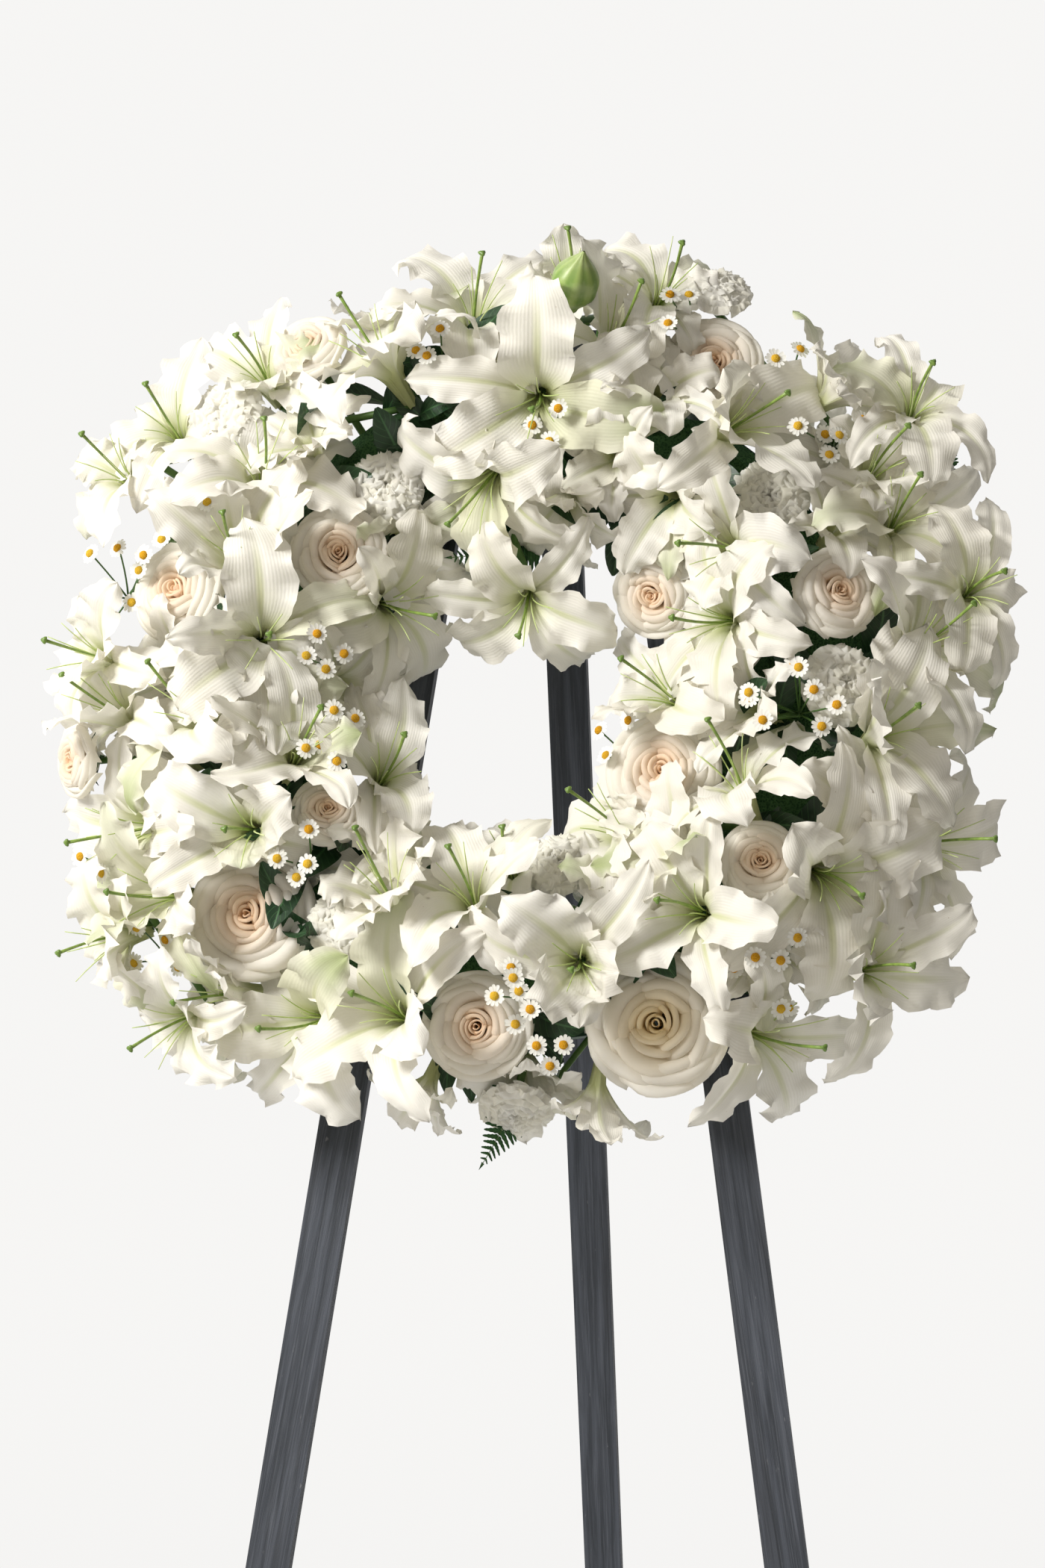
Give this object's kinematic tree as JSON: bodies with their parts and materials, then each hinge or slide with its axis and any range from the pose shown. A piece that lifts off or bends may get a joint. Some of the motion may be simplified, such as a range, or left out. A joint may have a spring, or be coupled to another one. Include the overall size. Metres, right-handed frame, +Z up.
{
  "type": "standing funeral wreath",
  "caption": "Standing funeral wreath of white lilies, roses, carnations, chamomile and fern in a foam ring, hung on a folding wooden tripod easel.",
  "frame": {"origin": "on the floor, under the middle of the whole part's bounding box", "axes": "+Z up, +X to the right seen from the front, and the flowers face -Y"},
  "size_m": [0.811, 0.9802, 1.5645],
  "materials": {
    "charcoal_wood": "satin",
    "hinge_steel": "satin",
    "hook_steel": "satin",
    "tray_plastic": "matte",
    "floral_foam": "matte",
    "lily_petal": "satin",
    "rose_petal": "satin",
    "carnation_petal": "matte",
    "chamomile": "matte",
    "fern_leaf": "satin",
    "broad_leaf": "gloss"
  },
  "bodies": {
    "front": {"carnation_low_left": "carnation_petal", "carnation_right_edge": "carnation_petal", "carnations_bottom": "carnation_petal", "carnations_left": "carnation_petal", "carnations_top_right": "carnation_petal", "chamomile_bottom": "chamomile", "chamomile_inner_left": "chamomile", "chamomile_left": "chamomile", "chamomile_low_left": "chamomile", "chamomile_right": "chamomile", "chamomile_top": "chamomile", "chamomile_upper_right": "chamomile", "fern_bottom": "fern_leaf", "fern_inner_top": "fern_leaf", "fern_right": "fern_leaf", "foam_ring": "floral_foam", "front_leg_left": "charcoal_wood", "front_leg_right": "charcoal_wood", "hanger_wire": "hook_steel", "hinge_leaf_fixed": "hinge_steel", "leaves_left": "broad_leaf", "leaves_right": "broad_leaf", "leaves_top": "broad_leaf", "lilies_bottom": "lily_petal", "lilies_bottom_inner": "lily_petal", "lilies_bottom_right": "lily_petal", "lilies_crown": "lily_petal", "lilies_foot_left": "lily_petal", "lilies_left": "lily_petal", "lilies_left_inner": "lily_petal", "lilies_left_low": "lily_petal", "lilies_low_left": "lily_petal", "lilies_right": "lily_petal", "lilies_right_high": "lily_petal", "lilies_right_inner": "lily_petal", "lilies_right_side": "lily_petal", "lilies_top": "lily_petal", "lilies_top_inner": "lily_petal", "lilies_top_left": "lily_petal", "lilies_upper_left": "lily_petal", "lilies_upper_right": "lily_petal", "middle_rail": "charcoal_wood", "rose_bottom": "rose_petal", "rose_bottom_right": "rose_petal", "rose_inner_left": "rose_petal", "rose_inner_right": "rose_petal", "rose_left": "rose_petal", "rose_left_edge": "rose_petal", "rose_low_inner_left": "rose_petal", "rose_low_inner_right": "rose_petal", "rose_low_left": "rose_petal", "rose_low_right": "rose_petal", "rose_right": "rose_petal", "rose_top_left": "rose_petal", "rose_top_right": "rose_petal", "top_rail": "charcoal_wood", "wreath_hook": "hook_steel", "wreath_tray": "tray_plastic"},
    "rear": {"rear_leg": "charcoal_wood", "hinge_leaf_moving": "hinge_steel"}
  },
  "joints": [
    {"name": "rear_leg_fold", "type": "hinge", "parent": "front", "child": "rear", "pos_m": [0.0016, -0.12977, 1.47715], "axis": [-1, 0, 0], "range_deg": [0, 32]}
  ]
}
